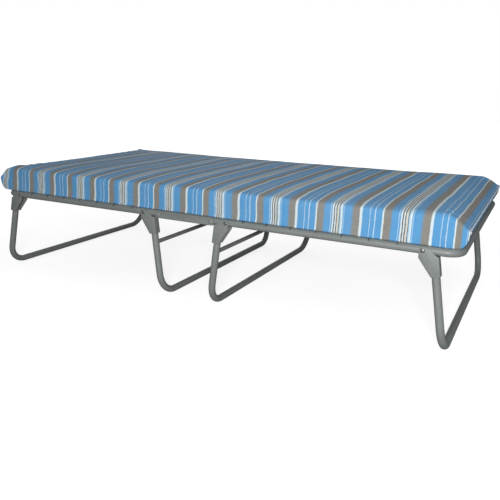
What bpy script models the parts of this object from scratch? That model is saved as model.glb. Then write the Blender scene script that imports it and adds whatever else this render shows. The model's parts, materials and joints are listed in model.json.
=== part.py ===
"""Folding rollaway bed: two tube half frames hinged to a pair of centre links, four
U-shaped folding legs, a sprung fabric deck and a foam mattress.

X runs along the bed, Y across it and Z up. The origin is on the floor, under the middle
of the overall length and width. The middle of the centre links lies a little to the left
of it. Every piece is placed under an empty that sits on the axis it turns about.
"""

import math

import bmesh
import bpy
from mathutils import Matrix, Vector

# Overall size; the frame's ends are measured from the middle of the centre links
MATTRESS_LENGTH = 1.905
FRAME_ENDS = {"left": 0.9235, "right": 0.9555}
FRAME_WIDTH = 0.956
FRAME_AXIS_Z = 0.326
LINK_MIDDLE_X = -0.003

# Steel tube, shared by the half frames and the legs
TUBE_R = 0.0127
TUBE_WALL = 0.0012
TUBE_SIDES = 20
BORE_SIDES = TUBE_SIDES // 2
FRAME_BEND_R = {"left": 0.052, "right": 0.045}
LEG_BEND_R = 0.078
BEND_STEPS = 5

# Gaps between neighbours
GAP = 0.0003
STOP_GAP = 0.0004

# Centre links and their pivots
PIVOT_X = 0.112
LINK_END = 0.011
SHEET = 0.002

# Legs: distance from the middle of the links at the frame's axis height, and lean in degrees
LEGS = {
    "left_end": (0.859, 13.5),
    "left_mid": (0.149, 7.0),
    "right_mid": (0.1415, 7.35),
    "right_end": (0.868, 9.5),
}
RIVET_OFFSET = 0.030
LEG_TOP_GAP = 0.0025
RIVET_R = 0.003
BRACKET_LENGTH = 0.082
ROD_R = 0.0078
ROD_DROP = 0.117

# Deck, its hem rods and hooks
DECK_THICK = 0.002
HEM_R = 0.0025
HOOK_R = 0.0015
HOOK_LENGTH = 0.040
HOOK_START = 0.125
HOOK_PITCH = 0.0875
SIDE_HOOKS = 7
END_HOOKS = 8

# Mattress
MATTRESS_HALF_WIDTH = 0.470
MATTRESS_BOTTOM = 0.3425
MATTRESS_TOP = 0.434
MATTRESS_SINK = 0.3295
BEND_HALF = 0.270

TUBE_Y = FRAME_WIDTH / 2 - TUBE_R
EAR_Y = TUBE_R + GAP
SIDES = {"left": -1, "right": 1}
EDGES = {"near": -1, "far": 1}


# ---------------------------------------------------------------- scene helpers


def clear_scene():
    for obj in list(bpy.data.objects):
        bpy.data.objects.remove(obj, do_unlink=True)


def make_material(name, colour, roughness, metallic):
    material = bpy.data.materials.new(name)
    material.use_nodes = True
    shader = material.node_tree.nodes["Principled BSDF"]
    shader.inputs["Base Color"].default_value = (*colour, 1.0)
    shader.inputs["Roughness"].default_value = roughness
    shader.inputs["Metallic"].default_value = metallic
    material.diffuse_color = (*colour, 1.0)
    return material


def make_empty(name, location, parent=None):
    empty = bpy.data.objects.new(name, None)
    empty.empty_display_size = 0.05
    empty.location = location
    empty.parent = parent
    bpy.context.scene.collection.objects.link(empty)
    return empty


def make_object(name, mesh, smooth=True):
    obj = bpy.data.objects.new(name, mesh)
    bpy.context.scene.collection.objects.link(obj)
    if smooth:
        mesh.shade_smooth()
        mesh.set_sharp_from_angle(angle=math.radians(30))
    return obj


def finish_mesh(bm, name):
    bmesh.ops.recalc_face_normals(bm, faces=bm.faces)
    mesh = bpy.data.meshes.new(name)
    bm.to_mesh(mesh)
    bm.free()
    return mesh


def boolean(obj, tool, operation):
    """Applies one exact Boolean to obj, then removes the tool."""
    modifier = obj.modifiers.new(operation.title(), "BOOLEAN")
    modifier.object = tool
    modifier.operation = operation
    modifier.solver = "EXACT"
    bpy.context.view_layer.update()
    graph = bpy.context.evaluated_depsgraph_get()
    mesh = bpy.data.meshes.new_from_object(obj.evaluated_get(graph))
    obj.modifiers.clear()
    obj.data = mesh
    mesh.shade_smooth()
    mesh.set_sharp_from_angle(angle=math.radians(30))
    bpy.data.objects.remove(tool, do_unlink=True)
    return obj


def place(obj, parent, material, location=(0.0, 0.0, 0.0)):
    obj.parent = parent
    obj.location = location
    obj.data.materials.clear()
    obj.data.materials.append(material)
    return obj


# ---------------------------------------------------------------- shape helpers


def arc(centre, radius, start, end, steps):
    """Points on an arc in a plane, both ends included, angles in degrees."""
    points = []
    for i in range(steps + 1):
        angle = math.radians(start + (end - start) * i / steps)
        points.append((centre[0] + radius * math.cos(angle), centre[1] + radius * math.sin(angle)))
    return points


def prism(outline, low, high, name="prism"):
    """Extrudes an outline in the XZ plane along Y, from low to high."""
    bm = bmesh.new()
    corners = [bm.verts.new((x, low, z)) for x, z in outline]
    face = bm.faces.new(corners)
    grown = bmesh.ops.extrude_face_region(bm, geom=[face])
    moved = [v for v in grown["geom"] if isinstance(v, bmesh.types.BMVert)]
    bmesh.ops.translate(bm, verts=moved, vec=(0.0, high - low, 0.0))
    return make_object(name, finish_mesh(bm, name), smooth=False)


def cylinder_y(centre, radius, low, high, sides=16, name="cylinder"):
    """A cylinder along Y, with centre given as (x, z)."""
    half = 180 / sides
    return prism(arc(centre, radius, half, 360 - half, sides - 1), low, high, name)


def turned(profile, sides, name):
    """A solid of revolution about Y from (radius, y) pairs, closed by flat ends."""
    bm = bmesh.new()
    rings = []
    for radius, y in profile:
        ring = []
        for i in range(sides):
            angle = 2 * math.pi * i / sides
            ring.append(bm.verts.new((radius * math.cos(angle), y, radius * math.sin(angle))))
        rings.append(ring)
    for low, high in zip(rings, rings[1:]):
        for i in range(sides):
            j = (i + 1) % sides
            bm.faces.new((low[i], low[j], high[j], high[i]))
    bm.faces.new(rings[0])
    bm.faces.new(rings[-1])
    return make_object(name, finish_mesh(bm, name))


def u_path(reach, half_width, radius):
    """Points and tangents of a U: out along one arm, across, and back along the other."""
    path = [((0.0, -half_width), (1.0, 0.0))]
    for i in range(BEND_STEPS + 1):
        turn = math.radians(90 * i / BEND_STEPS)
        along = reach - radius + radius * math.sin(turn)
        across = -half_width + radius - radius * math.cos(turn)
        path.append(((along, across), (math.cos(turn), math.sin(turn))))
    back = [((p[0], -p[1]), (-t[0], t[1])) for p, t in reversed(path)]
    return path + back


def ring_at(bm, centre, normal, lift, radius, sides, twist):
    """One ring of a tube: normal lies in the plane of the bend, lift stands on that plane."""
    ring = []
    for i in range(sides):
        angle = twist + 2 * math.pi * i / sides
        ring.append(bm.verts.new(centre + radius * (math.cos(angle) * normal + math.sin(angle) * lift)))
    return ring


def bent_tube(name, path, origin, along, twist=0.0):
    """A hollow tube along a flat path, open at both ends; twist turns its facets."""
    bm = bmesh.new()
    across = Vector((0.0, 1.0, 0.0))
    lift = along.cross(across)
    skins = []
    for radius, sides in ((TUBE_R, TUBE_SIDES), (TUBE_R - TUBE_WALL, BORE_SIDES)):
        skin = []
        for (p, q), (tp, tq) in path:
            centre = origin + p * along + q * across
            normal = tq * along - tp * across
            skin.append(ring_at(bm, centre, normal, lift, radius, sides, twist))
        skins.append(skin)
    for skin in skins:
        sides = len(skin[0])
        for low, high in zip(skin, skin[1:]):
            for i in range(sides):
                j = (i + 1) % sides
                bm.faces.new((low[i], low[j], high[j], high[i]))
    for end in (0, -1):
        outer, inner = skins[0][end], skins[1][end]
        for i in range(BORE_SIDES):
            rim = [outer[2 * i], outer[2 * i + 1], outer[(2 * i + 2) % TUBE_SIDES]]
            bm.faces.new(rim + [inner[(i + 1) % BORE_SIDES], inner[i]])
    return make_object(name, finish_mesh(bm, name))


def u_section(half_gap, depth, floor):
    """Section of a pressed channel as (across, height): open at depth, closed at floor."""
    outer = half_gap + SHEET
    bend = SHEET + 0.0006
    points = [(-outer, depth)]
    points += arc((-outer + bend, floor + bend), bend, 180, 270, 3)
    points += arc((outer - bend, floor + bend), bend, 270, 360, 3)
    points += [(outer, depth), (half_gap, depth)]
    inner = bend - SHEET
    points += arc((half_gap - inner, floor + SHEET + inner), inner, 0, -90, 2)
    points += arc((-half_gap + inner, floor + SHEET + inner), inner, -90, -180, 2)
    points.append((-half_gap, depth))
    return points


def channel(section, origin, run, height, length, name):
    """Extrudes a (Y, height) section along run; height and run are directions in XZ."""
    bm = bmesh.new()
    corners = [bm.verts.new(origin + Vector((0.0, y, 0.0)) + h * height) for y, h in section]
    face = bm.faces.new(corners)
    grown = bmesh.ops.extrude_face_region(bm, geom=[face])
    moved = [v for v in grown["geom"] if isinstance(v, bmesh.types.BMVert)]
    bmesh.ops.translate(bm, verts=moved, vec=length * run)
    return make_object(name, finish_mesh(bm, name))


# ---------------------------------------------------------------- half frames and links


def half_name(side):
    return "left" if side < 0 else "right"


def end_tube(side):
    """Distance from a half frame's pivot to the centreline of its end tube."""
    return FRAME_ENDS[half_name(side)] - TUBE_R - PIVOT_X


def half_frame(name, side):
    """U-shaped half frame, measured from its fold pivot, with a rounded nose at each pivot."""
    spare = 2 * TUBE_R
    path = u_path(end_tube(side) + spare, TUBE_Y, FRAME_BEND_R[half_name(side)])
    start = Vector((-side * spare, 0.0, 0.0))
    tube = bent_tube(name, path, start, Vector((side, 0.0, 0.0)))
    reach = 3 * TUBE_R
    nose = [(0.0, reach), (-side * reach, reach), (-side * reach, -reach), (0.0, -reach)]
    nose += arc((0.0, 0.0), TUBE_R, 270, 270 - side * 180, 15)
    boolean(tube, prism(nose, -FRAME_WIDTH, FRAME_WIDTH, "nose_cut"), "DIFFERENCE")
    half = "left" if side < 0 else "right"
    holes = [0.0]
    holes += [side * (leg_rivet_x(f"{half}_{kind}") - PIVOT_X) for kind in ("mid", "end")]
    for x in holes:
        radius = RIVET_R * (1.35 if x == 0.0 else 1.0) + GAP
        boolean(tube, cylinder_y((x, 0.0), radius, -FRAME_WIDTH, FRAME_WIDTH), "DIFFERENCE")
    return tube


def centre_link(name):
    """Pressed channel under both pivots: its floor is the stop that keeps the bed flat."""
    half = PIVOT_X + LINK_END
    floor = -TUBE_R - STOP_GAP - SHEET
    section = u_section(EAR_Y, TUBE_R, floor)
    blank = channel(section, Vector((-half - 0.01, 0.0, 0.0)), Vector((1.0, 0.0, 0.0)),
                    Vector((0.0, 0.0, 1.0)), 2 * half + 0.02, name)
    r = 0.006
    outline = arc((half - r, floor + r), r, 270, 360, 4) + arc((half - r, TUBE_R - r), r, 0, 90, 4)
    outline += arc((-half + r, TUBE_R - r), r, 90, 180, 4)
    outline += arc((-half + r, floor + r), r, 180, 270, 4)
    spare = 1e-5
    cutter = [(x, z + math.copysign(spare, z)) for x, z in outline]
    boolean(blank, prism(cutter, -0.1, 0.1, "link_outline"), "INTERSECT")
    for side in (-1, 1):
        radius = RIVET_R * 1.35 + GAP
        boolean(blank, cylinder_y((side * PIVOT_X, 0.0), radius, -0.1, 0.1), "DIFFERENCE")
    return blank


def rivet(name, radius, half_grip):
    """Domed rivet along Y through a pair of ears."""
    seat = half_grip + GAP
    head = 2.3 * radius
    high = seat + radius
    profile = [(0.55 * head, -high), (head, -seat), (radius, -seat),
               (radius, seat), (head, seat), (0.55 * head, high)]
    return turned(profile, 10, name)


# ---------------------------------------------------------------- legs


def leg_rivet_x(leg):
    """Distance of a leg's rivet from the middle of the links."""
    x, lean = LEGS[leg]
    shift = RIVET_OFFSET / math.cos(math.radians(lean))
    return x - shift if leg.endswith("end") else x + shift


def leg_axes(lean_side, lean):
    """Directions down the leg and square to it on its leaning side."""
    down = Vector((lean_side * math.sin(lean), 0.0, -math.cos(lean)))
    out = Vector((lean_side * math.cos(lean), 0.0, math.sin(lean)))
    return down, out


def leg_tube(name, lean_side, lean):
    """One U-shaped leg, measured from its rivet axis, with a facet of its foot bar on the floor."""
    down, out = leg_axes(lean_side, lean)
    top = stop_depth(RIVET_OFFSET + TUBE_R, lean) + LEG_TOP_GAP
    flat = TUBE_R * math.cos(math.pi / TUBE_SIDES)
    foot = (FRAME_AXIS_Z - flat + RIVET_OFFSET * math.sin(lean)) / math.cos(lean)
    path = u_path(foot - top, TUBE_Y, LEG_BEND_R)
    twist = -lean_side * lean - math.pi / TUBE_SIDES
    return bent_tube(name, path, RIVET_OFFSET * out + top * down, down, twist)


def stop_depth(offset, lean):
    """Distance down the leg at which a point offset from the rivet clears the frame's tube."""
    return (TUBE_R + STOP_GAP + offset * math.sin(lean)) / math.cos(lean)


def bracket_outline(lean_side, lean):
    """Side view of a leg bracket: round at the rivet, wide under the frame, tapered down the leg."""
    down, out = leg_axes(lean_side, lean)
    web = RIVET_OFFSET + EAR_Y + SHEET
    stations = [(n, stop_depth(n, lean)) for n in (web - SHEET - 0.003, web)]
    stations += [(web, BRACKET_LENGTH), (RIVET_OFFSET - TUBE_R, BRACKET_LENGTH)]
    corners = [n * out + s * down for n, s in stations]
    outline = arc((0.0, 0.0), 0.011, 180, 90, 5)
    outline += [(0.022, 0.004)]
    outline += [(lean_side * c.x, c.z) for c in corners]
    outline += [(-0.011, -0.0225)]
    return [(lean_side * x, z) for x, z in outline]


def leg_bracket(name, lean_side, lean):
    """Pressed bracket: two ears over the frame tube, joined by a web behind the leg."""
    down, out = leg_axes(lean_side, lean)
    section = u_section(EAR_Y, RIVET_OFFSET + 0.045, -EAR_Y - SHEET)
    start = RIVET_OFFSET * out - 0.03 * down
    blank = channel(section, start, down, -out, 0.14, name)
    outline = bracket_outline(lean_side, lean)
    boolean(blank, prism(outline, -0.1, 0.1, "bracket_outline"), "INTERSECT")
    boolean(blank, cylinder_y((0.0, 0.0), RIVET_R + GAP, -0.1, 0.1), "DIFFERENCE")
    return blank


def cross_rod(name):
    """Round stay between the two arms of a middle leg."""
    half = TUBE_Y - TUBE_R - GAP
    return turned([(ROD_R, -half), (ROD_R, half)], 12, name)


# ---------------------------------------------------------------- deck


def slab(name, x_low, x_high, half_width, z_low, z_high):
    outline = [(x_low, z_low), (x_high, z_low), (x_high, z_high), (x_low, z_high)]
    return prism(outline, -half_width, half_width, name)


def rod_between(name, start, end, radius, sides=8):
    """A straight round bar between two points."""
    axis = end - start
    rod = turned([(radius, 0.0), (radius, axis.length)], sides, name)
    turn = Vector((0.0, 1.0, 0.0)).rotation_difference(axis.normalized())
    rod.data.transform(turn.to_matrix().to_4x4())
    rod.data.transform(Matrix.Translation(start))
    return rod


def hook_row(name, start, end, hooks, reach):
    """A hem rod with its row of hooks, each reaching towards the frame's tube."""
    row = rod_between(name, start, end, HEM_R)
    for place_on_rod in hooks:
        hook = rod_between("hook", place_on_rod, place_on_rod + reach, HOOK_R, 6)
        boolean(row, hook, "UNION")
    return row


def side_hooks(name, side, edge):
    y = edge * (TUBE_Y - TUBE_R - HOOK_LENGTH)
    start = Vector((side * 0.012, y, 0.0))
    end = Vector((side * (end_tube(side) - TUBE_R - HOOK_LENGTH - 0.006), y, 0.0))
    hooks = [Vector((side * (HOOK_START + HOOK_PITCH * i), y, 0.0)) for i in range(SIDE_HOOKS)]
    return hook_row(name, start, end, hooks, Vector((0.0, edge * (HOOK_LENGTH - STOP_GAP), 0.0)))


def end_hooks(name, side):
    x = side * (end_tube(side) - TUBE_R - HOOK_LENGTH)
    half = TUBE_Y - TUBE_R - HOOK_LENGTH - 0.0045
    pitch = 2 * (half - 0.055) / (END_HOOKS - 1)
    hooks = [Vector((x, -half + 0.055 + pitch * i, 0.0)) for i in range(END_HOOKS)]
    reach = Vector((side * (HOOK_LENGTH - STOP_GAP), 0.0, 0.0))
    return hook_row(name, Vector((x, -half, 0.0)), Vector((x, half, 0.0)), hooks, reach)


# ---------------------------------------------------------------- mattress


def mattress_piece(name, x_low, x_high, sink_low, sink_high, round_end):
    """Foam block with rounded long edges, sunk between the frame's tubes onto the deck."""
    bottom = MATTRESS_BOTTOM - FRAME_AXIS_Z
    top = MATTRESS_TOP - FRAME_AXIS_Z
    bm = bmesh.new()
    bmesh.ops.create_cube(bm, size=1.0)
    for vert in bm.verts:
        vert.co.x = x_low if vert.co.x < 0 else x_high
        vert.co.y = math.copysign(MATTRESS_HALF_WIDTH, vert.co.y)
        vert.co.z = bottom if vert.co.z < 0 else top
    rounded = [e for e in bm.edges if is_rounded(e, round_end)]
    bmesh.ops.bevel(bm, geom=rounded, offset=0.022, segments=4, profile=0.5, affect="EDGES")
    block = make_object(name, finish_mesh(bm, name))
    sink = slab("sink", sink_low, sink_high, TUBE_Y - TUBE_R - 0.0096,
                MATTRESS_SINK - FRAME_AXIS_Z, bottom + 0.01)
    return boolean(block, sink, "UNION")


def is_rounded(edge, round_end):
    a, b = edge.verts
    if abs(a.co.x - b.co.x) > 1e-6:
        return True
    return round_end is not None and abs(a.co.x - round_end) < 1e-6


def half_mattress(name, side):
    inner = side * (BEND_HALF + STOP_GAP - PIVOT_X)
    outer = side * (MATTRESS_LENGTH / 2 - PIVOT_X) - LINK_MIDDLE_X
    sink_outer = side * (end_tube(side) - TUBE_R - 0.030)
    low, high = sorted((inner, outer))
    sink_low, sink_high = sorted((inner, sink_outer))
    return mattress_piece(name, low, high, sink_low, sink_high, outer)


# ---------------------------------------------------------------- assembly


def build_leg(half, kind, side, parent, paint, steel):
    lean_side = side if kind == "end" else -side
    prefix = f"{half}_{kind}_leg"
    lean = math.radians(LEGS[f"{half}_{kind}"][1])
    x = side * (leg_rivet_x(f"{half}_{kind}") - PIVOT_X)
    axis = make_empty(f"{prefix}_axis", (x, 0.0, 0.0), parent)
    place(leg_tube(f"{prefix}_tube", lean_side, lean), axis, paint)
    for edge_name, edge in EDGES.items():
        at = (0.0, edge * TUBE_Y, 0.0)
        place(leg_bracket(f"{prefix}_bracket_{edge_name}", lean_side, lean), axis, paint, at)
        pin = rivet(f"{prefix}_rivet_{edge_name}", RIVET_R, EAR_Y + SHEET)
        place(pin, parent, steel, (x, edge * TUBE_Y, 0.0))
    if kind == "mid":
        down, out = leg_axes(lean_side, lean)
        at = RIVET_OFFSET * out + ROD_DROP * down
        place(cross_rod(f"{half}_mid_leg_cross_rod"), axis, paint, at)


def build_half(half, side, root, looks):
    fold = make_empty(f"{half}_fold_axis", (side * PIVOT_X, 0.0, 0.0), root)
    place(half_frame(f"{half}_frame_tube", side), fold, looks["paint"])
    inner, outer = side * 0.003, side * (end_tube(side) - TUBE_R - HOOK_LENGTH - 0.003)
    low, high = sorted((inner, outer))
    half_width = TUBE_Y - TUBE_R - HOOK_LENGTH - 0.003
    deck = slab(f"{half}_deck_fabric", low, high, half_width, -DECK_THICK / 2, DECK_THICK / 2)
    place(deck, fold, looks["deck"])
    for edge_name, edge in EDGES.items():
        place(side_hooks(f"{half}_spring_row_{edge_name}", side, edge), fold, looks["steel"])
    place(end_hooks(f"{half}_spring_row_end", side), fold, looks["steel"])
    place(half_mattress(f"{half}_mattress", side), fold, looks["fabric"])
    for kind in ("end", "mid"):
        build_leg(half, kind, side, fold, looks["paint"], looks["steel"])


def build_centre(root, looks):
    for edge_name, edge in EDGES.items():
        at = (0.0, edge * TUBE_Y, 0.0)
        place(centre_link(f"centre_link_{edge_name}"), root, looks["paint"], at)
        for half, side in SIDES.items():
            pin = rivet(f"{half}_fold_rivet_{edge_name}", RIVET_R * 1.35, EAR_Y + SHEET)
            place(pin, root, looks["steel"], (side * PIVOT_X, edge * TUBE_Y, 0.0))
    reach = PIVOT_X - 0.006
    half_width = TUBE_Y - TUBE_R - HOOK_LENGTH - 0.003
    deck = slab("centre_deck_fabric", -reach, reach, half_width, -DECK_THICK / 2, DECK_THICK / 2)
    place(deck, root, looks["deck"])
    bend = mattress_piece("centre_mattress", -BEND_HALF, BEND_HALF, -BEND_HALF, BEND_HALF, None)
    place(bend, root, looks["fabric"])


def main():
    clear_scene()
    looks = {
        "paint": make_material("hammered_grey_paint", (0.23, 0.26, 0.25), 0.45, 0.35),
        "steel": make_material("zinc_steel", (0.55, 0.56, 0.57), 0.35, 0.9),
        "deck": make_material("deck_weave", (0.10, 0.11, 0.12), 0.9, 0.0),
        "fabric": make_material("striped_cover", (0.16, 0.38, 0.66), 0.85, 0.0),
    }
    root = make_empty("bed_root", (LINK_MIDDLE_X, 0.0, FRAME_AXIS_Z))
    build_centre(root, looks)
    for half, side in SIDES.items():
        build_half(half, side, root, looks)


main()
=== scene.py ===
import json
import math

import bmesh
import bpy
import numpy as np
from mathutils import Matrix, Vector, noise

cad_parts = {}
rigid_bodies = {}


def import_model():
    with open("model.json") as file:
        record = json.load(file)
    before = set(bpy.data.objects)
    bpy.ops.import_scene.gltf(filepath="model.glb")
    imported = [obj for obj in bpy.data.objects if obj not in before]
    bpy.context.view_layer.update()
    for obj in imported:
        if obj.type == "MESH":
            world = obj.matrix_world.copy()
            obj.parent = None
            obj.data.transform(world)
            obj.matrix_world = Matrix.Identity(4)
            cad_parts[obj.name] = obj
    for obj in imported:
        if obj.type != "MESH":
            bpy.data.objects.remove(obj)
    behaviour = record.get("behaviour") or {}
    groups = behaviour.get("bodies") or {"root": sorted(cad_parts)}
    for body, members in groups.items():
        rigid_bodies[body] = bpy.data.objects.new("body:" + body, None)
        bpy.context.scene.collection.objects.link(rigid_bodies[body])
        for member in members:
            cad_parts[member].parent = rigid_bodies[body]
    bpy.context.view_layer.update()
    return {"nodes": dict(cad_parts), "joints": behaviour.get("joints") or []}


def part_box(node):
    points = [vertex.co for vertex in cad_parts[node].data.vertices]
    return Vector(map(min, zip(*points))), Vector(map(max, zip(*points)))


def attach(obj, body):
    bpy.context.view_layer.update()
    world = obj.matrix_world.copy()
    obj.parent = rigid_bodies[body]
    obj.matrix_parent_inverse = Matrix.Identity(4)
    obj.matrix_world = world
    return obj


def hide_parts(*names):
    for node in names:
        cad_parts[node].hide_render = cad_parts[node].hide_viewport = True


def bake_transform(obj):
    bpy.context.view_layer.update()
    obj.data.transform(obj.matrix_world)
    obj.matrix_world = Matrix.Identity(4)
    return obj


for leftover in list(bpy.data.objects):
    bpy.data.objects.remove(leftover, do_unlink=True)
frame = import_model()

# Joint axes and main places, read from the frame
AXIS = {joint["name"]: Vector(joint["pos_m"]) for joint in frame["joints"]}
AXIS_Z = AXIS["left_fold"].z
CENTRE_X = (AXIS["left_fold"].x + AXIS["right_fold"].x) / 2
SIDES = {"left": -1, "right": 1}
EDGES = {"near": -1, "far": 1}

# Steel tube, pressed sheet, rods and rivets
TUBE_R = 0.0127
TUBE_WALL = 0.0012
TUBE_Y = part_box("left_frame_tube")[1].y - TUBE_R
FRAME_BEND_R = {"left": 0.052, "right": 0.045}
LEG_BEND_R = 0.078
BEND_STEPS = 14
TUBE_SIDES = 36
LATHE_SIDES = 32
SHEET_EDGE = 0.00045
ROD_EDGE = 0.0008
RIVET_RIM = 0.0004
HEAD_TO_SHANK = 2.3

# Legs: how far their rivets are from the tube's centre line, and the gaps at their tops
RIVET_OFFSET = 0.030
STOP_GAP = 0.0004
LEG_TOP_GAP = 0.0025

# Deck: the sheet, its rolled hems and the rods in them
HEM_ROD_R = 0.0025
HEM_R = 0.0042
HEM_OUTSIDE = 0.003
HEM_GAP = 0.002
DECK_COLUMNS = 120
DECK_ROWS = 48

# Springs: their places, their coils, and the degrees that a hook runs round the tube
SPRING_START = 0.125
SPRING_PITCH = 0.0875
SPRINGS_SIDE = 7
SPRINGS_END = 8
END_SPRING_INSET = 0.055
SPRING_LENGTH = 0.040
WIRE_R = 0.0012
WIRE_GAP = 0.0002
COIL_R = 0.0042
COIL_TURNS = 9
COIL_START = 0.009
COIL_SPAN = SPRING_LENGTH - 0.016
COIL_SIDES = 12
SIDE_GRIP = 140
END_GRIP = 85

# Mattress: its box, the height it rests at and the hollow under the folds
MATTRESS_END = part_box("right_mattress")[1].x
MATTRESS_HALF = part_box("left_mattress")[1].y
MATTRESS_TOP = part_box("left_mattress")[1].z
MATTRESS_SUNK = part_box("left_mattress")[0].z
MATTRESS_REST = 0.3396
FOLD_HOLLOW = 0.020
FRAME_INSIDE = {
    "left": -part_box("left_frame_tube")[0].x - 2 * TUBE_R,
    "right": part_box("right_frame_tube")[1].x - 2 * TUBE_R,
}

# Mattress ends: the seam, the slot closed by it, and how far and how fully the cover is rounded
SEAM_Z = {"left": 0.391, "right": 0.395}
SEAM_SLOT = 0.004
TOP_ROUND = {"left": 0.026, "right": 0.060}
LOW_ROUND = {"left": 0.024, "right": 0.018}
TOP_POWER = {"left": 3.0, "right": 1.7}
LOW_POWER = {"left": 2.8, "right": 1.8}
END_ROUND = 0.06
END_WRAP = 0.019

# Mattress edges and crown, the room left at its sides for the padding, and the number of the
# outline's point halfway down the far side
TOP_EDGE_R = 0.022
LOW_EDGE_R = 0.007
CROWN = 0.005
SIDE_ROOM = 0.004
FAR_SIDE = 6

# Cloth simulation: mesh size, length, and how far it may push the cover out in each region
CLOTH_STEP = 0.0105
CLOTH_FRAMES = 20
PUSH = {"frame": 0.0004, "top": 0.004, "side": 0.007, "end": 0.010}
END_REGION = 0.07
TOP_REGION = 0.012

# Gathered cover: how far the corners are pulled out and how far the near right corner turns in
CORNER_PULL = {"left": 0.003, "right": 0.005}
FAR_CORNER_RISE = 0.006
NEAR_CORNER_DROP = 0.005
TURN_IN = 0.015
TURN_IN_LENGTH = 0.052
PUCKER_SEED = {"left": 4.2, "right": 9.6}

# End seam: the cord, its stitches and the knots at the corners
CORD_R = 0.0017
STITCH_R = 0.0005
KNOT_WIRE_R = 0.0011
SEAM_STEPS = 120

# Light that the air gives the bed. The camera sees it as white
AIR_LIGHT = 0.195

# Stripes across the bed: the pattern's length, where it starts, and its bands in order
STRIPE_PERIOD = 0.2136
STRIPE_START = -0.0052
STRIPES = [
    ("white", 0.024), ("blue", 0.109), ("thin_white", 0.010), ("blue", 0.064), ("thin_white", 0.010),
    ("blue", 0.096), ("white", 0.024), ("taupe", 0.098), ("grey_blue", 0.022), ("blue", 0.090),
    ("thin_white", 0.010), ("blue", 0.018), ("white", 0.026), ("brown", 0.015), ("white", 0.020),
    ("brown", 0.015), ("cream", 0.026), ("brown", 0.014), ("pale_blue", 0.014), ("white", 0.028),
    ("blue", 0.013), ("pale_blue", 0.008), ("blue", 0.112), ("grey_blue", 0.022), ("taupe", 0.100),
    ("white", 0.012),
]
COVER_COLOURS = {
    "white": (0.64, 0.74, 0.76),
    "thin_white": (0.56, 0.70, 0.78),
    "blue": (0.082, 0.310, 0.600),
    "pale_blue": (0.32, 0.54, 0.74),
    "taupe": (0.235, 0.218, 0.186),
    "grey_blue": (0.150, 0.260, 0.370),
    "brown": (0.085, 0.065, 0.052),
    "cream": (0.60, 0.61, 0.54),
}


# ---------------------------------------------------------------- materials


class Graph:
    """A material's nodes, added one at a time. Inputs are given by name or by number."""

    def __init__(self, name):
        self.material = bpy.data.materials.new(name)
        self.material.use_nodes = True
        self.tree = self.material.node_tree
        self.shader = self.tree.nodes["Principled BSDF"]

    def add(self, kind, inputs=None, **settings):
        node = self.tree.nodes.new(kind)
        for key, value in settings.items():
            setattr(node, key, value)
        for key, value in (inputs or {}).items():
            self.feed(node.inputs[key], value)
        return node

    def feed(self, socket, value):
        if isinstance(value, bpy.types.NodeSocket):
            self.tree.links.new(value, socket)
        else:
            socket.default_value = value

    def set(self, **values):
        for key, value in values.items():
            self.feed(self.shader.inputs[key.replace("_", " ")], value)

    def place(self):
        """Where a point is on its own piece, in metres."""
        return self.add("ShaderNodeTexCoord").outputs["Object"]

    def rest_place(self):
        """Where a point of a bending piece lies when the bed is flat, in metres."""
        return self.add("ShaderNodeAttribute", attribute_name="rest_place").outputs["Vector"]

    def stretch(self, vector, scale):
        return self.add("ShaderNodeMapping", {"Vector": vector, "Scale": scale}).outputs["Vector"]

    def noise(self, vector, scale, detail=3.0, roughness=0.55):
        inputs = {"Vector": vector, "Scale": scale, "Detail": detail, "Roughness": roughness}
        return self.add("ShaderNodeTexNoise", inputs).outputs["Fac"]

    def math(self, operation, a, b=0.0):
        return self.add("ShaderNodeMath", {0: a, 1: b}, operation=operation).outputs[0]

    def span(self, value, low, high, to_low=0.0, to_high=1.0):
        inputs = {"Value": value, "From Min": low, "From Max": high, "To Min": to_low, "To Max": to_high}
        return self.add("ShaderNodeMapRange", inputs).outputs[0]

    def mix(self, factor, a, b):
        node = self.add("ShaderNodeMix", data_type="RGBA")
        self.feed(node.inputs[0], factor)
        for index, value in ((6, a), (7, b)):
            colour = (*value, 1.0) if isinstance(value, tuple) else value
            self.feed(node.inputs[index], colour)
        return node.outputs[2]

    def bump(self, height, distance, strength=1.0, normal=None):
        inputs = {"Height": height, "Distance": distance, "Strength": strength}
        if normal is not None:
            inputs["Normal"] = normal
        return self.add("ShaderNodeBump", inputs).outputs["Normal"]


def hammered_paint():
    """Grey-green hammered enamel over steel, with dimples, faint dirt and small chips."""
    g = Graph("hammered_grey_paint")
    place = g.place()
    cells = g.add("ShaderNodeTexVoronoi", {"Vector": place, "Scale": 330.0}, feature="SMOOTH_F1")
    dimples = g.span(cells.outputs["Distance"], 0.05, 0.75)
    fleck = g.noise(place, 420.0, 4.0)
    cloud = g.noise(place, 7.0)
    tone = g.mix(g.span(fleck, 0.3, 0.7), (0.165, 0.180, 0.176), (0.246, 0.265, 0.259))
    tone = g.mix(g.span(cloud, 0.35, 0.75, 0.0, 0.45), tone, (0.130, 0.145, 0.140))
    tone = g.mix(g.span(dimples, 0.55, 1.0, 0.0, 0.35), tone, (0.300, 0.330, 0.325))
    chips = g.span(g.noise(place, 95.0, 6.0, 0.7), 0.735, 0.755)
    tone = g.mix(chips, tone, (0.330, 0.315, 0.295))
    g.set(Base_Color=tone, Metallic=0.12, Specular_IOR_Level=0.45, Coat_Weight=0.12, Coat_Roughness=0.30)
    g.set(Roughness=g.span(fleck, 0.2, 0.8, 0.46, 0.62))
    g.set(Normal=g.bump(dimples, 0.0004, 0.55, g.bump(cloud, 0.0006, 0.3)))
    return g.material


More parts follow.
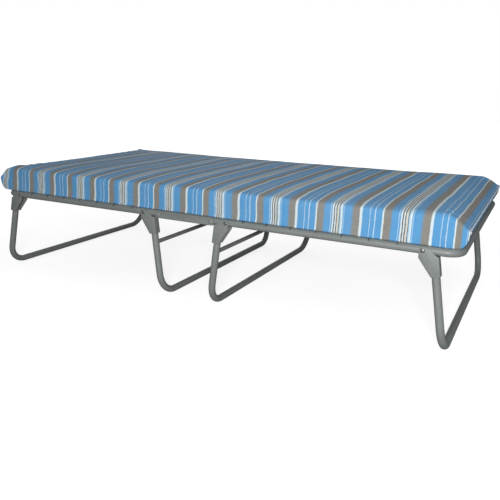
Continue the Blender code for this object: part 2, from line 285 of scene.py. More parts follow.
def zinc_steel():
    """Dull zinc plate with a cloudy bloom."""
    g = Graph("zinc_steel")
    place = g.place()
    bloom = g.noise(place, 160.0, 4.0)
    grain = g.noise(g.stretch(place, (1.0, 6.0, 1.0)), 900.0)
    g.set(Base_Color=g.mix(g.span(bloom, 0.3, 0.7), (0.30, 0.31, 0.32), (0.16, 0.165, 0.175)))
    g.set(Metallic=0.9, Roughness=g.span(bloom, 0.3, 0.75, 0.26, 0.48))
    g.set(Normal=g.bump(grain, 0.0001, 0.35))
    return g.material


def spring_steel():
    """Spring wire coloured near black, a little lighter in random blotches."""
    g = Graph("spring_steel")
    place = g.place()
    blotches = g.noise(place, 240.0, 4.0)
    g.set(Base_Color=g.mix(g.span(blotches, 0.3, 0.7), (0.030, 0.030, 0.034), (0.085, 0.080, 0.076)))
    g.set(Metallic=0.7, Roughness=g.span(blotches, 0.3, 0.75, 0.30, 0.55))
    g.set(Normal=g.bump(blotches, 0.0001, 0.3))
    return g.material


def thread_waves(g, place, pitch):
    """Over-and-under threads of a plain weave, as a height from -1 to 1."""
    turn = 2 * math.pi / pitch
    parts = g.add("ShaderNodeSeparateXYZ", {0: place})
    along = g.math("SINE", g.math("MULTIPLY", parts.outputs[0], turn))
    down = g.math("SUBTRACT", parts.outputs[1], parts.outputs[2])
    across = g.math("SINE", g.math("MULTIPLY", down, turn))
    return g.math("MULTIPLY", along, across)


def deck_weave():
    """Coarse dark woven sheet."""
    g = Graph("deck_weave")
    place = g.rest_place()
    threads = thread_waves(g, place, 0.0036)
    fuzz = g.noise(place, 700.0, 3.0)
    tone = g.mix(g.span(threads, -0.6, 0.8), (0.018, 0.020, 0.024), (0.075, 0.080, 0.090))
    tone = g.mix(g.span(fuzz, 0.3, 0.8, 0.0, 0.4), tone, (0.115, 0.118, 0.125))
    g.set(Base_Color=tone, Sheen_Weight=0.2, Sheen_Roughness=0.6)
    g.set(Roughness=g.span(fuzz, 0.2, 0.8, 0.72, 0.95))
    g.set(Normal=g.bump(threads, 0.0006, 0.7, g.bump(fuzz, 0.0003, 0.5)))
    return g.material


def stripe_ramp(g, along):
    """Colour of the cover's stripes at a share of the pattern."""
    ramp = g.add("ShaderNodeValToRGB", {"Fac": along})
    ramp.color_ramp.interpolation = "CONSTANT"
    stops = ramp.color_ramp.elements
    start = 0.0
    whole = sum(width for _, width in STRIPES)
    for index, (colour, width) in enumerate(STRIPES):
        stop = stops.new(start / whole) if index else stops[0]
        stop.color = (*COVER_COLOURS[colour], 1.0)
        start += width
    stops[len(stops) - 1].color = (*COVER_COLOURS[STRIPES[-1][0]], 1.0)
    return ramp.outputs["Color"]


def striped_cover():
    """Cotton ticking woven in stripes across the bed, a little frayed and worn."""
    g = Graph("striped_cover")
    place = g.rest_place()
    parts = g.add("ShaderNodeSeparateXYZ", {0: place})
    drift = g.noise(g.stretch(place, (0.6, 2.2, 2.2)), 3.0, 2.0)
    frayed = g.noise(place, 900.0, 1.0)
    along = g.math("ADD", parts.outputs[0], g.span(drift, 0.3, 0.7, -0.0016, 0.0016))
    along = g.math("ADD", along, g.span(frayed, 0.3, 0.7, -0.0003, 0.0003))
    turns = g.math("DIVIDE", g.math("SUBTRACT", along, STRIPE_START), STRIPE_PERIOD)
    spread = g.noise(g.stretch(place, (900.0, 60.0, 60.0)), 1.0, 2.0)
    beside = g.math("ADD", turns, g.span(spread, 0.25, 0.75, -0.012, 0.012))
    colour = g.mix(0.35, stripe_ramp(g, g.math("FRACT", turns)), stripe_ramp(g, g.math("FRACT", beside)))
    threads = thread_waves(g, place, 0.0012)
    slub = g.noise(g.stretch(place, (60.0, 1400.0, 1400.0)), 1.0, 3.0)
    worn = g.noise(place, 5.5, 4.0)
    shade = g.span(threads, -1.0, 1.0, 0.0, 0.16)
    colour = g.mix(shade, colour, (0.05, 0.09, 0.16))
    colour = g.mix(g.span(slub, 0.45, 0.85, 0.0, 0.16), colour, (0.62, 0.70, 0.76))
    colour = g.mix(g.span(worn, 0.45, 0.75, 0.0, 0.10), colour, (0.42, 0.44, 0.46))
    fine = g.bump(threads, 0.0003, 0.5)
    g.set(Base_Color=colour, Sheen_Weight=0.08, Sheen_Roughness=0.5, Specular_IOR_Level=0.25)
    g.set(Roughness=g.span(slub, 0.2, 0.9, 0.70, 0.92))
    g.set(Normal=g.bump(g.noise(place, 34.0, 4.0), 0.0030, 0.35, fine))
    return g.material


def seam_thread():
    """Pale twisted sewing thread."""
    g = Graph("seam_thread")
    place = g.place()
    twist = g.noise(g.stretch(place, (900.0, 900.0, 300.0)), 1.0, 2.0)
    g.set(Base_Color=g.mix(twist, (0.45, 0.50, 0.55), (0.78, 0.82, 0.84)))
    g.set(Roughness=g.span(twist, 0.2, 0.8, 0.6, 0.85), Normal=g.bump(twist, 0.0002, 0.5))
    return g.material


def studio_floor():
    """Pale paper floor that fades to white away from the bed. It gives off little light itself."""
    g = Graph("studio_floor")
    place = g.place()
    mottle = g.noise(place, 1.5, 4.0)
    seen = g.add("ShaderNodeLightPath").outputs["Is Camera Ray"]
    far = g.span(g.add("ShaderNodeVectorMath", {0: place}, operation="LENGTH").outputs["Value"], 1.3, 3.6)
    g.set(Base_Color=g.mix(g.span(mottle, 0.3, 0.7), (0.46, 0.46, 0.46), (0.50, 0.50, 0.495)))
    g.set(Roughness=g.span(mottle, 0.3, 0.7, 0.7, 0.85), Specular_IOR_Level=0.1)
    glow = g.math("MULTIPLY", seen, g.span(far, 0.0, 1.0, 0.80, 1.0))
    g.set(Emission_Color=(1.0, 1.0, 1.0, 1.0), Emission_Strength=glow)
    return g.material


# ---------------------------------------------------------------- mesh helpers


def add_object(name, mesh, material, smooth_angle=40):
    obj = bpy.data.objects.new(name, mesh)
    bpy.context.scene.collection.objects.link(obj)
    mesh.shade_smooth()
    mesh.set_sharp_from_angle(angle=math.radians(smooth_angle))
    mesh.materials.clear()
    mesh.materials.append(material)
    return obj


def finish_bmesh(bm, name):
    bmesh.ops.recalc_face_normals(bm, faces=bm.faces)
    mesh = bpy.data.meshes.new(name)
    bm.to_mesh(mesh)
    bm.free()
    return mesh


def join_rings(bm, rings):
    for low, high in zip(rings, rings[1:]):
        for i in range(len(low)):
            j = (i + 1) % len(low)
            bm.faces.new((low[i], low[j], high[j], high[i]))


def tangents_of(points):
    ends = [points[0]] + list(points) + [points[-1]]
    return [(b - a).normalized() for a, b in zip(ends, ends[2:])]


def ring(bm, centre, first, second, radius, sides):
    made = []
    for i in range(sides):
        angle = 2 * math.pi * i / sides
        made.append(bm.verts.new(centre + radius * (math.cos(angle) * first + math.sin(angle) * second)))
    return made


def sweep(bm, points, radius, sides, first=None):
    """Rings along a path, carried along without twist. first is the direction of vertex 0."""
    tangents = tangents_of(points)
    normal = first or tangents[0].orthogonal().normalized()
    rings = []
    for index, (point, tangent) in enumerate(zip(points, tangents)):
        if index:
            normal = tangents[index - 1].rotation_difference(tangent) @ normal
        rings.append(ring(bm, point, normal, tangent.cross(normal), radius, sides))
    join_rings(bm, rings)
    return rings


def bar(bm, points, radius, sides):
    """A solid round bar along a path, with flat ends."""
    rings = sweep(bm, points, radius, sides)
    bm.faces.new(rings[0])
    bm.faces.new(rings[-1])


def open_end(bm, rim, inward, depth=0.020):
    """Gives a tube's end its wall thickness and a bore that goes in by depth."""
    centre = sum((v.co for v in rim), Vector()) / len(rim)
    share = (TUBE_R - TUBE_WALL) / TUBE_R
    lip = [bm.verts.new(centre + (v.co - centre) * share) for v in rim]
    deep = [bm.verts.new(v.co + inward * depth) for v in lip]
    join_rings(bm, [rim, lip, deep])
    bm.faces.new(deep)


def round_nose(bm, rim, direction, pivot):
    """Closes a tube's end with a half round about the crosswise axis through pivot."""
    sides = len(rim)
    for vert in rim:
        lift = vert.co.z - pivot.z
        vert.co.x = pivot.x + direction * math.sqrt(max(TUBE_R ** 2 - lift ** 2, 0.0))
    quarter = sides // 4
    for i in range(-quarter, quarter):
        corners = (rim[i], rim[i + 1], rim[(sides // 2 - i - 1) % sides], rim[(sides // 2 - i) % sides])
        bm.faces.new(list(dict.fromkeys(corners)))


def u_path(origin, along, reach, half_width, bend):
    """A U in the plane of along and Y: out along one arm, across, and back along the other."""
    flat = [(0.0, -half_width)]
    for i in range(BEND_STEPS + 1):
        turn = math.radians(90 * i / BEND_STEPS)
        flat.append((reach - bend + bend * math.sin(turn), -half_width + bend - bend * math.cos(turn)))
    flat += [(p, -q) for p, q in reversed(flat)]
    return [origin + p * along + Vector((0.0, q, 0.0)) for p, q in flat]


def lathe_y(name, profile, centre, material):
    """A turned piece about Y from (radius, y) pairs."""
    bm = bmesh.new()
    first, second = Vector((1.0, 0.0, 0.0)), Vector((0.0, 0.0, 1.0))
    rings = [ring(bm, centre + Vector((0.0, y, 0.0)), first, second, r, LATHE_SIDES) for r, y in profile]
    join_rings(bm, rings)
    bm.faces.new(rings[0])
    bm.faces.new(rings[-1])
    return add_object(name, finish_bmesh(bm, name), material)


def mark_rest(obj, wrap=0.0):
    """Stores where each vertex lies on the flat bed, for patterns on pieces that bend.

    wrap is the extra length of cloth that goes round each end of the piece.
    """
    places = np.empty(len(obj.data.vertices) * 3, np.float32)
    obj.data.vertices.foreach_get("co", places)
    along = places[0::3]
    depth = np.clip((np.abs(along) - MATTRESS_END + END_ROUND) / END_ROUND, 0.0, 1.0)
    places[0::3] = along + np.sign(along) * wrap * depth ** 2.5
    layer = obj.data.attributes.new("rest_place", "FLOAT_VECTOR", "POINT")
    layer.data.foreach_set("vector", places)


# ---------------------------------------------------------------- frame and legs


def dress(obj, body, slot, *nodes):
    """Puts a finished piece on its body in place of its CAD nodes."""
    if body:
        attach(obj, body)
    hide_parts(*nodes)


def frame_tube(half, side, paint):
    """The U of a half frame, with rounded noses in the centre links."""
    node = f"{half}_frame_tube"
    pivot = AXIS[f"{half}_fold"]
    low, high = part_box(node)
    end = low.x if side < 0 else high.x
    reach = abs(end - pivot.x) - TUBE_R
    bm = bmesh.new()
    path = u_path(pivot, Vector((side, 0.0, 0.0)), reach, TUBE_Y, FRAME_BEND_R[half])
    rings = sweep(bm, path, TUBE_R, TUBE_SIDES, Vector((0.0, 1.0, 0.0)))
    round_nose(bm, rings[0], -side, pivot)
    round_nose(bm, rings[-1], -side, pivot)
    obj = add_object(f"{node}_fine", finish_bmesh(bm, node), paint)
    dress(obj, f"{half}_half", "grey_paint", node)


def leg_shape(leg, lean_side):
    """Directions of a leg, down it and square to it, and its lean, from its joint and foot."""
    joint = AXIS[f"{leg}_leg_fold"]
    low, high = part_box(f"{leg}_leg_tube")
    foot_x = high.x - TUBE_R if lean_side > 0 else low.x + TUBE_R
    sideways = lean_side * (foot_x - joint.x)
    drop = joint.z - TUBE_R
    length = math.sqrt(sideways ** 2 + drop ** 2 - RIVET_OFFSET ** 2)
    lean = math.atan2(sideways, drop) - math.atan2(RIVET_OFFSET, length)
    down = Vector((lean_side * math.sin(lean), 0.0, -math.cos(lean)))
    out = Vector((lean_side * math.cos(lean), 0.0, math.sin(lean)))
    return down, out, lean, length


def leg_tube(leg, lean_side, paint):
    """The U of a leg, with open ends at the top."""
    node = f"{leg}_leg_tube"
    down, out, lean, length = leg_shape(leg, lean_side)
    top = (TUBE_R + STOP_GAP + (RIVET_OFFSET + TUBE_R) * math.sin(lean)) / math.cos(lean) + LEG_TOP_GAP
    origin = AXIS[f"{leg}_leg_fold"] + RIVET_OFFSET * out + top * down
    bm = bmesh.new()
    rings = sweep(bm, u_path(origin, down, length - top, TUBE_Y, LEG_BEND_R), TUBE_R, TUBE_SIDES)
    open_end(bm, rings[0], down)
    open_end(bm, rings[-1], down)
    obj = add_object(f"{node}_fine", finish_bmesh(bm, node), paint)
    dress(obj, f"{leg}_leg", "grey_paint", node)


def pressed_sheet(node, body, paint):
    """A pressed steel piece with the CAD node's shape and softened sheared edges."""
    source = frame["nodes"][node].data
    bm = bmesh.new()
    verts = [bm.verts.new(v.co) for v in source.vertices]
    for polygon in source.polygons:
        bm.faces.new([verts[i] for i in polygon.vertices])
    bmesh.ops.remove_doubles(bm, verts=bm.verts, dist=1e-5)
    bmesh.ops.dissolve_limit(bm, angle_limit=math.radians(0.5), verts=bm.verts, edges=bm.edges)
    sharp = [e for e in bm.edges if len(e.link_faces) == 2 and e.calc_face_angle(0.0) > math.radians(50)]
    bmesh.ops.bevel(bm, geom=sharp, offset=SHEET_EDGE, segments=2, profile=0.6, affect="EDGES",
                    clamp_overlap=True)
    obj = add_object(f"{node}_fine", finish_bmesh(bm, node), paint, 35)
    dress(obj, body, "grey_paint", node)


def rivet(node, body, material, slot):
    """A set rivet: domed heads on both sides of the ears."""
    low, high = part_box(node)
    centre = (low + high) / 2
    half = (high.y - low.y) / 2
    head = (high.x - low.x) / 2
    shank = head / HEAD_TO_SHANK
    seat = half - shank
    dome = [(head * math.cos(t), seat + RIVET_RIM + (shank - RIVET_RIM) * math.sin(t))
            for t in (math.radians(a) for a in range(0, 85, 12))]
    far = [(shank, seat), (head, seat)] + dome
    profile = [(r, -y) for r, y in reversed(far)] + far
    obj = lathe_y(f"{node}_fine", profile, centre, material)
    dress(obj, body, slot, node)


def cross_rod(node, body, paint):
    """The rod between the arms of a middle leg, with softened rims."""
    low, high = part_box(node)
    centre = (low + high) / 2
    half = (high.y - low.y) / 2
    radius = (high.z - low.z) / 2
    far = [(radius, half - ROD_EDGE), (radius - ROD_EDGE, half)]
    profile = [(r, -y) for r, y in reversed(far)] + far
    obj = lathe_y(f"{node}_fine", profile, centre, paint)
    dress(obj, body, "grey_paint", node)


# ---------------------------------------------------------------- springs and deck


def coil_spring(bm, start, along, grip):
    """A coil spring from the hem rod at start, hooked round the rod and over the tube.

    along is the direction to the tube, and grip how many degrees the hook runs round it.
    """
    up = Vector((0.0, 0.0, 1.0))
    side = along.cross(up)
    loop = HEM_ROD_R + WIRE_R + WIRE_GAP
    points = []
    for step in range(9):
        angle = math.radians(-120 + 300 * step / 8)
        points.append(start + math.cos(angle) * loop * along + math.sin(angle) * loop * up)
    steps = COIL_TURNS * COIL_SIDES
    for step in range(steps + 1):
        angle = 2 * math.pi * step / COIL_SIDES
        ease = min(1.0, 2 * step / COIL_SIDES, 2 * (steps - step) / COIL_SIDES)
        off = COIL_R * ease * (math.cos(angle) * up + math.sin(angle) * side)
        points.append(start + (COIL_START + COIL_SPAN * step / steps) * along + off)
    tube = start + (SPRING_LENGTH + TUBE_R) * along
    over = TUBE_R + WIRE_R + WIRE_GAP
    for step in range(10):
        angle = math.radians(172 - grip * step / 9)
        points.append(tube + over * (math.cos(angle) * along + math.sin(angle) * up))
    bar(bm, points, WIRE_R, 6)


def spring_row(node, body, rod, starts, along, grip, steel):
    """A hem rod with the springs that pull it towards the frame."""
    bm = bmesh.new()
    bar(bm, rod, HEM_ROD_R, 14)
    for start in starts:
        coil_spring(bm, start, along, grip)
    obj = add_object(f"{node}_fine", finish_bmesh(bm, node), steel)
    dress(obj, body, "zinc_steel", node)


def side_springs(half, side, edge_name, steel):
    edge = EDGES[edge_name]
    node = f"{half}_spring_row_{edge_name}"
    low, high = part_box(node)
    y = edge * (TUBE_Y - TUBE_R - SPRING_LENGTH)
    rod = [Vector((low.x, y, AXIS_Z)), Vector((high.x, y, AXIS_Z))]
    pivot = AXIS[f"{half}_fold"].x
    starts = [Vector((pivot + side * (SPRING_START + SPRING_PITCH * i), y, AXIS_Z))
              for i in range(SPRINGS_SIDE)]
    spring_row(node, f"{half}_half", rod, starts, Vector((0.0, edge, 0.0)), SIDE_GRIP, steel)


def end_springs(half, side, steel):
    node = f"{half}_spring_row_end"
    low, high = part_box(node)
    x = high.x - HEM_ROD_R if side < 0 else low.x + HEM_ROD_R
    rod = [Vector((x, low.y, AXIS_Z)), Vector((x, high.y, AXIS_Z))]
    first = low.y + END_SPRING_INSET
    pitch = (high.y - low.y - 2 * END_SPRING_INSET) / (SPRINGS_END - 1)
    starts = [Vector((x, first + pitch * i, AXIS_Z)) for i in range(SPRINGS_END)]
    spring_row(node, f"{half}_half", rod, starts, Vector((side, 0.0, 0.0)), END_GRIP, steel)


def deck_sheet(half, side, weave):
    """Half of the deck: a woven sheet with rolled hems round the rods."""
    low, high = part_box(f"{half}_deck_fabric")
    outer = low.x if side < 0 else high.x
    stations = [CENTRE_X + (outer - CENTRE_X) * i / DECK_COLUMNS for i in range(DECK_COLUMNS + 1)]
    section = deck_section(high.y + HEM_OUTSIDE, (high.z - low.z) / 2)
    bm = bmesh.new()
    rings = [[bm.verts.new((x, y, AXIS_Z + z)) for y, z in section] for x in stations]
    join_rings(bm, rings)
    bm.faces.new(rings[0])
    bm.faces.new(rings[-1])
    obj = add_object(f"{half}_deck_sheet", finish_bmesh(bm, f"{half}_deck"), weave, 60)
    mark_rest(obj)
    nodes = [f"{half}_deck_fabric"] + (["centre_deck_fabric"] if side < 0 else [])
    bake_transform(obj)
    dress(obj, None, "deck_weave", *nodes)


def deck_section(hem_y, thick):
    """Outline of the sheet across the bed: flat, with a rolled hem about hem_y at each edge."""
    spread = math.asin(thick / HEM_R)
    roll = []
    for i in range(17):
        angle = math.pi - spread - (2 * math.pi - 2 * spread) * i / 16
        roll.append((hem_y + HEM_R * math.cos(angle), HEM_R * math.sin(angle)))
    inside = hem_y - HEM_R - HEM_GAP
    top = [(-inside + 2 * inside * i / DECK_ROWS, thick) for i in range(DECK_ROWS + 1)]
    bottom = [(y, -thick) for y, _ in reversed(top)]
    return top + roll + bottom + [(-y, z) for y, z in reversed(roll)]


# ---------------------------------------------------------------- mattress


def smooth_step(t):
    t = min(max(t, 0.0), 1.0)
    return t * t * (3.0 - 2.0 * t)


def half_at(x):
    """The half of the bed that a place along it is on."""
    return "left" if x < 0 else "right"


def fullness(x, rounding, power):
    """Share of the full height at x: 1 inside, falling to 0 at the end seams."""
    half = half_at(x)
    depth = (abs(x) - MATTRESS_END + rounding[half]) / rounding[half]
    return math.sqrt(max(1.0 - max(depth, 0.0) ** power[half], 0.0))


def even_run(start, end, step):
    """Evenly spaced values from start up to, but not including, end."""
    count = max(round(abs(end - start) / step), 1)
    return [start + (end - start) * i / count for i in range(count)]


def quarter_round(y, z, radius, start, steps):
    """Points of a quarter circle about (y, z), turning down from start degrees."""
    angles = [math.radians(start - 90 * i / steps) for i in range(steps + 1)]
    return [(y + radius * math.cos(a), z + radius * math.sin(a)) for a in angles]


def mattress_section(x):
    """Outline of the mattress across the bed at x, as (y, z) pairs, from the far top edge on."""
    seam = SEAM_Z[half_at(x)]
    slot = SEAM_SLOT / 2
    top = seam + (MATTRESS_TOP - slot - seam) * fullness(x, TOP_ROUND, TOP_POWER) + slot
    low = seam - (seam - MATTRESS_REST) * fullness(x, LOW_ROUND, LOW_POWER) - slot
    height = top - low
    top_r, low_r = min(TOP_EDGE_R, 0.5 * height), min(LOW_EDGE_R, 0.3 * height)
    half = MATTRESS_HALF - SIDE_ROOM
    far = quarter_round(half - top_r, top - top_r, top_r, 90, 4)
    far += [(half, top - top_r - (height - top_r - low_r) * i / 5) for i in range(1, 5)]
    far += quarter_round(half - low_r, low + low_r, low_r, 0, 3)
    near = [(-y, z) for y, z in reversed(far)]
    edge = half - TOP_EDGE_R
    across = even_run(edge, -edge, CLOTH_STEP)[1:]
    under = [(y, low) for y in across]
    over = [(-y, top) for y in across]
    outline = far + under + near + over
    return [(y, z + crown(x, y) if z > low + 0.02 else z - sag(x, y)) for y, z in outline]


def crown(x, y):
    """How far the top stands up towards the middle of the mattress."""
    return CROWN * (1.0 - (y / MATTRESS_HALF) ** 4) * smooth_step((MATTRESS_END - 0.012 - abs(x)) / 0.08)


def sag(x, y):
    """How far the underside sinks between the tubes.

    Beside the folds it is hollow instead, so that the bent foam stays above the deck.
    """
    from_side = TUBE_Y - TUBE_R - abs(y)
    from_end = FRAME_INSIDE[half_at(x)] - abs(x)
    from_fold = abs(x - CENTRE_X)
    inside = smooth_step((from_side - 0.008) / 0.020) * smooth_step((from_end - 0.005) / 0.022)
    hollow = smooth_step((from_fold - 0.03) / 0.06) * smooth_step((0.26 - from_fold) / 0.07)
    hollow *= smooth_step((from_side - 0.003) / 0.018)
    return (MATTRESS_REST - MATTRESS_SUNK - 0.001) * inside - FOLD_HOLLOW * hollow


def mattress_form():
    """The whole mattress as a closed loft from end seam to end seam."""
    ends = [END_ROUND * (1.0 - math.cos(math.radians(90 * i / 8))) for i in range(8)]
    stations = [-MATTRESS_END + e for e in ends]
    stations += even_run(END_ROUND - MATTRESS_END, MATTRESS_END - END_ROUND, CLOTH_STEP)
    stations += [MATTRESS_END - END_ROUND] + [MATTRESS_END - e for e in reversed(ends)]
    bm = bmesh.new()
    rings = [[bm.verts.new((x, y, z)) for y, z in mattress_section(x)] for x in stations]
    join_rings(bm, rings)
    for rim in (rings[0], rings[-1]):
        close_seam(bm, rim)
    return finish_bmesh(bm, "mattress_form")


def close_seam(bm, rim):
    """Closes the narrow slot left at an end, top row against bottom row, from the far side on."""
    count = len(rim)
    for i in range(count // 2 - 1):
        low = [rim[(FAR_SIDE + 1 + i) % count], rim[(FAR_SIDE + 2 + i) % count]]
        top = [rim[(FAR_SIDE - 1 - i) % count], rim[(FAR_SIDE - i) % count]]
        bm.faces.new(list(dict.fromkeys(low + top)))


def lies_below(place):
    """Whether a point is on the underside, which rests on the deck and the tubes."""
    on_tube = place[2] < MATTRESS_REST + 0.004
    on_deck = place[2] < MATTRESS_REST + FOLD_HOLLOW + 0.012 and abs(place[1]) < TUBE_Y - TUBE_R
    return on_tube or on_deck


def slack(place):
    """How far the padding may push the cover out at a point: least where it lies on the frame."""
    to_end = MATTRESS_END - abs(place[0])
    if lies_below(place) and to_end > 0.03:
        return PUSH["frame"]
    if to_end <= END_REGION:
        return PUSH["end"]
    return PUSH["top"] if place[2] > MATTRESS_TOP - TOP_REGION else PUSH["side"]


def puff(obj):
    """Fills the cover by a pressure simulation, with its movement capped place by place."""
    rest = np.array([v.co for v in obj.data.vertices])
    held = obj.vertex_groups.new(name="held")
    for index, place in enumerate(rest):
        if lies_below(place) or MATTRESS_END - abs(place[0]) < 0.0005:
            held.add([index], 1.0, "REPLACE")
    cloth = obj.modifiers.new("cloth", "CLOTH")
    settings = cloth.settings
    settings.quality = 4
    settings.mass = 0.25
    settings.tension_stiffness = 12.0
    settings.compression_stiffness = 12.0
    settings.bending_stiffness = 0.4
    settings.shrink_min = -0.012
    settings.use_pressure = True
    settings.uniform_pressure_force = 4.0
    settings.vertex_group_mass = "held"
    settings.effector_weights.gravity = 0.0
    cloth.collision_settings.use_collision = False
    cloth.point_cache.frame_end = CLOTH_FRAMES
    scene = bpy.context.scene
    for step in range(1, CLOTH_FRAMES + 1):
        scene.frame_set(step)
    posed = obj.evaluated_get(bpy.context.evaluated_depsgraph_get()).to_mesh()
    moved = np.array([v.co for v in posed.vertices]) - rest
    obj.modifiers.remove(cloth)
    obj.vertex_groups.remove(held)
    scene.frame_set(1)
    limit = np.array([slack(place) for place in rest])
    size = np.linalg.norm(moved, axis=1) + 1e-12
    kept = rest + moved * (limit * np.tanh(size / limit) / size)[:, None]
    obj.data.vertices.foreach_set("co", kept.ravel())
    obj.data.update()


def refine(mesh):
    """The mesh after one round of subdivision."""
    obj = bpy.data.objects.new("refined", mesh)
    bpy.context.scene.collection.objects.link(obj)
    smooth = obj.modifiers.new("smooth", "SUBSURF")
    smooth.levels = 1
    smooth.render_levels = 1
    view = bpy.context.evaluated_depsgraph_get()
    fine = bpy.data.meshes.new_from_object(obj.evaluated_get(view))
    bpy.data.objects.remove(obj, do_unlink=True)
    return fine


def dents(place, to_end):
    """Slow unevenness of the top."""
    on_top = smooth_step((place.z - MATTRESS_REST - 0.012) / 0.02)
    lumps = noise.noise(Vector((place.x * 5.0, place.y * 7.0, 1.7)))
    return 0.0022 * lumps * on_top * smooth_step(to_end / 0.05)


def pucker(place, to_end):
    """Small folds that run in from an end seam."""
    fold = noise.noise(Vector((place.y * 46.0, to_end * 9.0, PUCKER_SEED[half_at(place.x)])))
    return 0.0042 * fold * math.exp(-to_end / 0.022) * smooth_step(to_end / 0.008)


def gather(mesh):
    """Puckers the cover along the end seams, pulls the corners out and dents the top a little."""
    for vert in mesh.vertices:
        place = vert.co
        half = half_at(place.x)
        to_end = max(MATTRESS_END - abs(place.x), 0.0)
        above = 1.0 if place.z > SEAM_Z[half] else -1.0
        place.z += dents(place, to_end)
        place.z += above * pucker(place, to_end)
        if half == "right" and place.y < 0:
            turn_in = smooth_step((TURN_IN_LENGTH - to_end) / TURN_IN_LENGTH)
            place.y += TURN_IN * turn_in * smooth_step((-place.y - 0.30) / 0.17)
        at_corner = smooth_step((abs(place.y) - MATTRESS_HALF + 0.075) / 0.07)
        pull = at_corner * math.exp(-to_end / 0.012)
        place.x += math.copysign(CORNER_PULL[half] * pull, place.x)
        if half == "right":
            place.z += pull * (FAR_CORNER_RISE if place.y > 0 else -NEAR_CORNER_DROP)


def half_of(mesh, side):
    """One half of the mattress, cut at the middle of the bed and closed there."""
    bm = bmesh.new()
    bm.from_mesh(mesh)
    geometry = bm.verts[:] + bm.edges[:] + bm.faces[:]
    cut = bmesh.ops.bisect_plane(bm, geom=geometry, dist=1e-6, plane_co=(CENTRE_X, 0.0, 0.0),
                                 plane_no=(-side, 0.0, 0.0), clear_outer=True)
    rim = [e for e in cut["geom_cut"] if isinstance(e, bmesh.types.BMEdge)]
    bmesh.ops.edgeloop_fill(bm, edges=rim)
    return finish_bmesh(bm, "mattress_half")


def seam_points(mesh, side):
    """Points along an end seam: the outermost places of the cover, from near to far."""
    places = np.array([v.co for v in mesh.vertices])
    outer = places[places[:, 0] * side > MATTRESS_END - 0.012]
    near, far = outer[:, 1].min(), outer[:, 1].max()
    points = []
    for i in range(SEAM_STEPS + 1):
        y = near + (far - near) * i / SEAM_STEPS
        close = outer[np.abs(outer[:, 1] - y) < 0.009]
        tip = close[np.argsort(-close[:, 0] * side)[:6]].mean(axis=0)
        points.append(Vector((tip[0], y, tip[2])))
    return points


def cord_line(points, side):
    """The seam's points evened out, just outside the cover and in small waves."""
    line = []
    for i in range(len(points)):
        around = points[max(i - 2, 0):i + 3]
        wave = Vector((side * 0.0008, 0.0, 0.0006 * math.sin(i * 1.9)))
        line.append(sum(around, Vector()) / len(around) + wave)
    return line


def stitch(bm, middle, side):
    """One slanting stitch over the cord."""
    slant = Vector((0.0, 0.0022, 0.0))
    rise = Vector((-side * 0.0006, 0.0, 0.0030))
    over = Vector((side * 0.0013, 0.0, 0.0))
    bar(bm, [middle - rise - slant, middle + over, middle + rise + slant], STITCH_R, 5)


def knot(bm, corner, direction):
    """Two turns of thread about an end of the cord."""
    turns = []
    for i in range(15):
        angle = math.radians(52 * i)
        off = Vector((0.0026 * math.cos(angle), direction * 0.0004 * i, 0.0030 * math.sin(angle)))
        turns.append(corner + off)
    bar(bm, turns, KNOT_WIRE_R, 6)


def end_seam(mesh, half, side, thread):
    """Sewn seam along one end of the cover: a cord with stitches and a knot at each corner."""
    line = cord_line(seam_points(mesh, side), side)
    bm = bmesh.new()
    bar(bm, line, CORD_R, 8)
    for middle in line[2:-2]:
        stitch(bm, middle, side)
    knot(bm, line[0], -1)
    knot(bm, line[-1], 1)
    obj = add_object(f"{half}_mattress_seam", finish_bmesh(bm, "seam"), thread)
    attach(obj, f"{half}_half")


def mattress(cover, thread):
    """The stuffed cover in two halves, with a sewn seam at each end."""
    form = bpy.data.objects.new("mattress_form", mattress_form())
    bpy.context.scene.collection.objects.link(form)
    puff(form)
    whole = refine(form.data.copy())
    bpy.data.objects.remove(form, do_unlink=True)
    gather(whole)
    for half, side in SIDES.items():
        obj = add_object(f"{half}_mattress_cover", half_of(whole, side), cover, 75)
        mark_rest(obj, END_WRAP)
        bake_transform(obj)
        nodes = [f"{half}_mattress"] + (["centre_mattress"] if side < 0 else [])
        dress(obj, None, "striped_cover", *nodes)
        end_seam(whole, half, side, thread)


# ---------------------------------------------------------------- stage


def studio():
    """White floor and air. The air looks white to the camera and lights the bed less."""
    bm = bmesh.new()
    bmesh.ops.create_grid(bm, x_segments=8, y_segments=8, size=14.0)
    floor = add_object("studio_floor", finish_bmesh(bm, "studio_floor"), studio_floor())
    floor.location = (0.0, 0.0, -0.0005)
    world = bpy.data.worlds.new("studio_air")
    bpy.context.scene.world = world
    world.use_nodes = True
    tree = world.node_tree
    air = tree.nodes["Background"]
    air.inputs["Color"].default_value = (1.0, 1.0, 1.0, 1.0)
    seen = tree.nodes.new("ShaderNodeLightPath")
    level = tree.nodes.new("ShaderNodeMapRange")
    level.inputs["To Min"].default_value = AIR_LIGHT
    level.inputs["To Max"].default_value = 1.0
    tree.links.new(seen.outputs["Is Camera Ray"], level.inputs["Value"])
    tree.links.new(level.outputs["Result"], air.inputs["Strength"])


def soft_light(name, place, aim, size, power):
    """A round lamp at place that points at aim, of size metres and power watts."""
    lamp = bpy.data.lights.new(name, "AREA")
    lamp.shape = "DISK"
    lamp.size = size
    lamp.energy = power
    obj = bpy.data.objects.new(name, lamp)
    obj.location = place
    obj.rotation_euler = (Vector(aim) - Vector(place)).to_track_quat("-Z", "Y").to_euler()
    bpy.context.scene.collection.objects.link(obj)


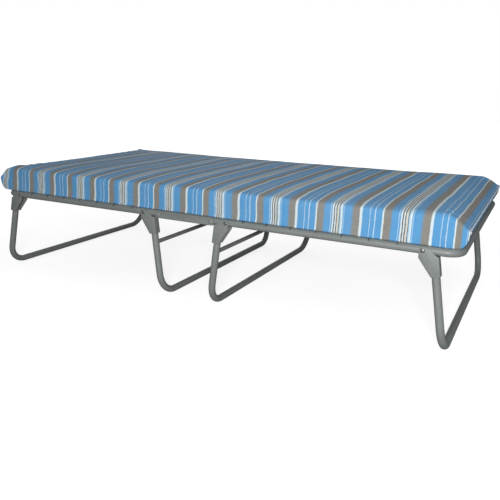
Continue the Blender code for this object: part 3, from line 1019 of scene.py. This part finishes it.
def camera():
    """A camera in front of the bed's right half, a little above it."""
    place = Vector((1.1306, -2.1643, 0.7787))
    yaw, pitch, roll = (math.radians(a) for a in (27.48, 14.31, 1.01))
    focal_px, centre_px = 577.3, (247.1, 235.6)
    image = 500
    look = Vector((-math.sin(yaw) * math.cos(pitch), math.cos(yaw) * math.cos(pitch), -math.sin(pitch)))
    level = look.cross(Vector((0.0, 0.0, 1.0))).normalized()
    rise = level.cross(look)
    right = math.cos(roll) * level + math.sin(roll) * rise
    up = -math.sin(roll) * level + math.cos(roll) * rise
    lens = bpy.data.cameras.new("camera")
    lens.sensor_width = 36.0
    lens.lens = focal_px / image * lens.sensor_width
    lens.shift_x = (image / 2 - centre_px[0]) / image
    lens.shift_y = (centre_px[1] - image / 2) / image
    obj = bpy.data.objects.new("camera", lens)
    turn = Matrix((right, up, -look)).transposed()
    obj.matrix_world = Matrix.Translation(place) @ turn.to_4x4()
    bpy.context.scene.collection.objects.link(obj)
    bpy.context.scene.camera = obj


# ---------------------------------------------------------------- assembly


def build():
    """Every piece of the bed, each rigid one on its body."""
    paint, steel, wire, weave = hammered_paint(), zinc_steel(), spring_steel(), deck_weave()
    for edge in EDGES:
        pressed_sheet(f"centre_link_{edge}", "centre_link", paint)
        for half in SIDES:
            rivet(f"{half}_fold_rivet_{edge}", "centre_link", paint, "grey_paint")
    for half, side in SIDES.items():
        frame_tube(half, side, paint)
        deck_sheet(half, side, weave)
        end_springs(half, side, wire)
        for edge in EDGES:
            side_springs(half, side, edge, wire)
        for kind, lean_side in (("end", side), ("mid", -side)):
            leg = f"{half}_{kind}"
            leg_tube(leg, lean_side, paint)
            for edge in EDGES:
                pressed_sheet(f"{leg}_leg_bracket_{edge}", f"{leg}_leg", paint)
                rivet(f"{leg}_leg_rivet_{edge}", f"{half}_half", steel, "zinc_steel")
        cross_rod(f"{half}_mid_leg_cross_rod", f"{half}_mid_leg", paint)
    mattress(striped_cover(), seam_thread())


build()
studio()
soft_light("front_light", (1.3, -2.7, 1.05), (0.1, 0.0, 0.3), 0.7, 64.5)
soft_light("top_light", (1.1, 0.1, 2.9), (0.1, 0.0, 0.4), 2.4, 10.0)
soft_light("back_light", (-2.2, 3.4, 1.6), (0.0, 0.0, 0.3), 2.2, 22.0)
camera()
bpy.context.scene.view_settings.view_transform = "Standard"
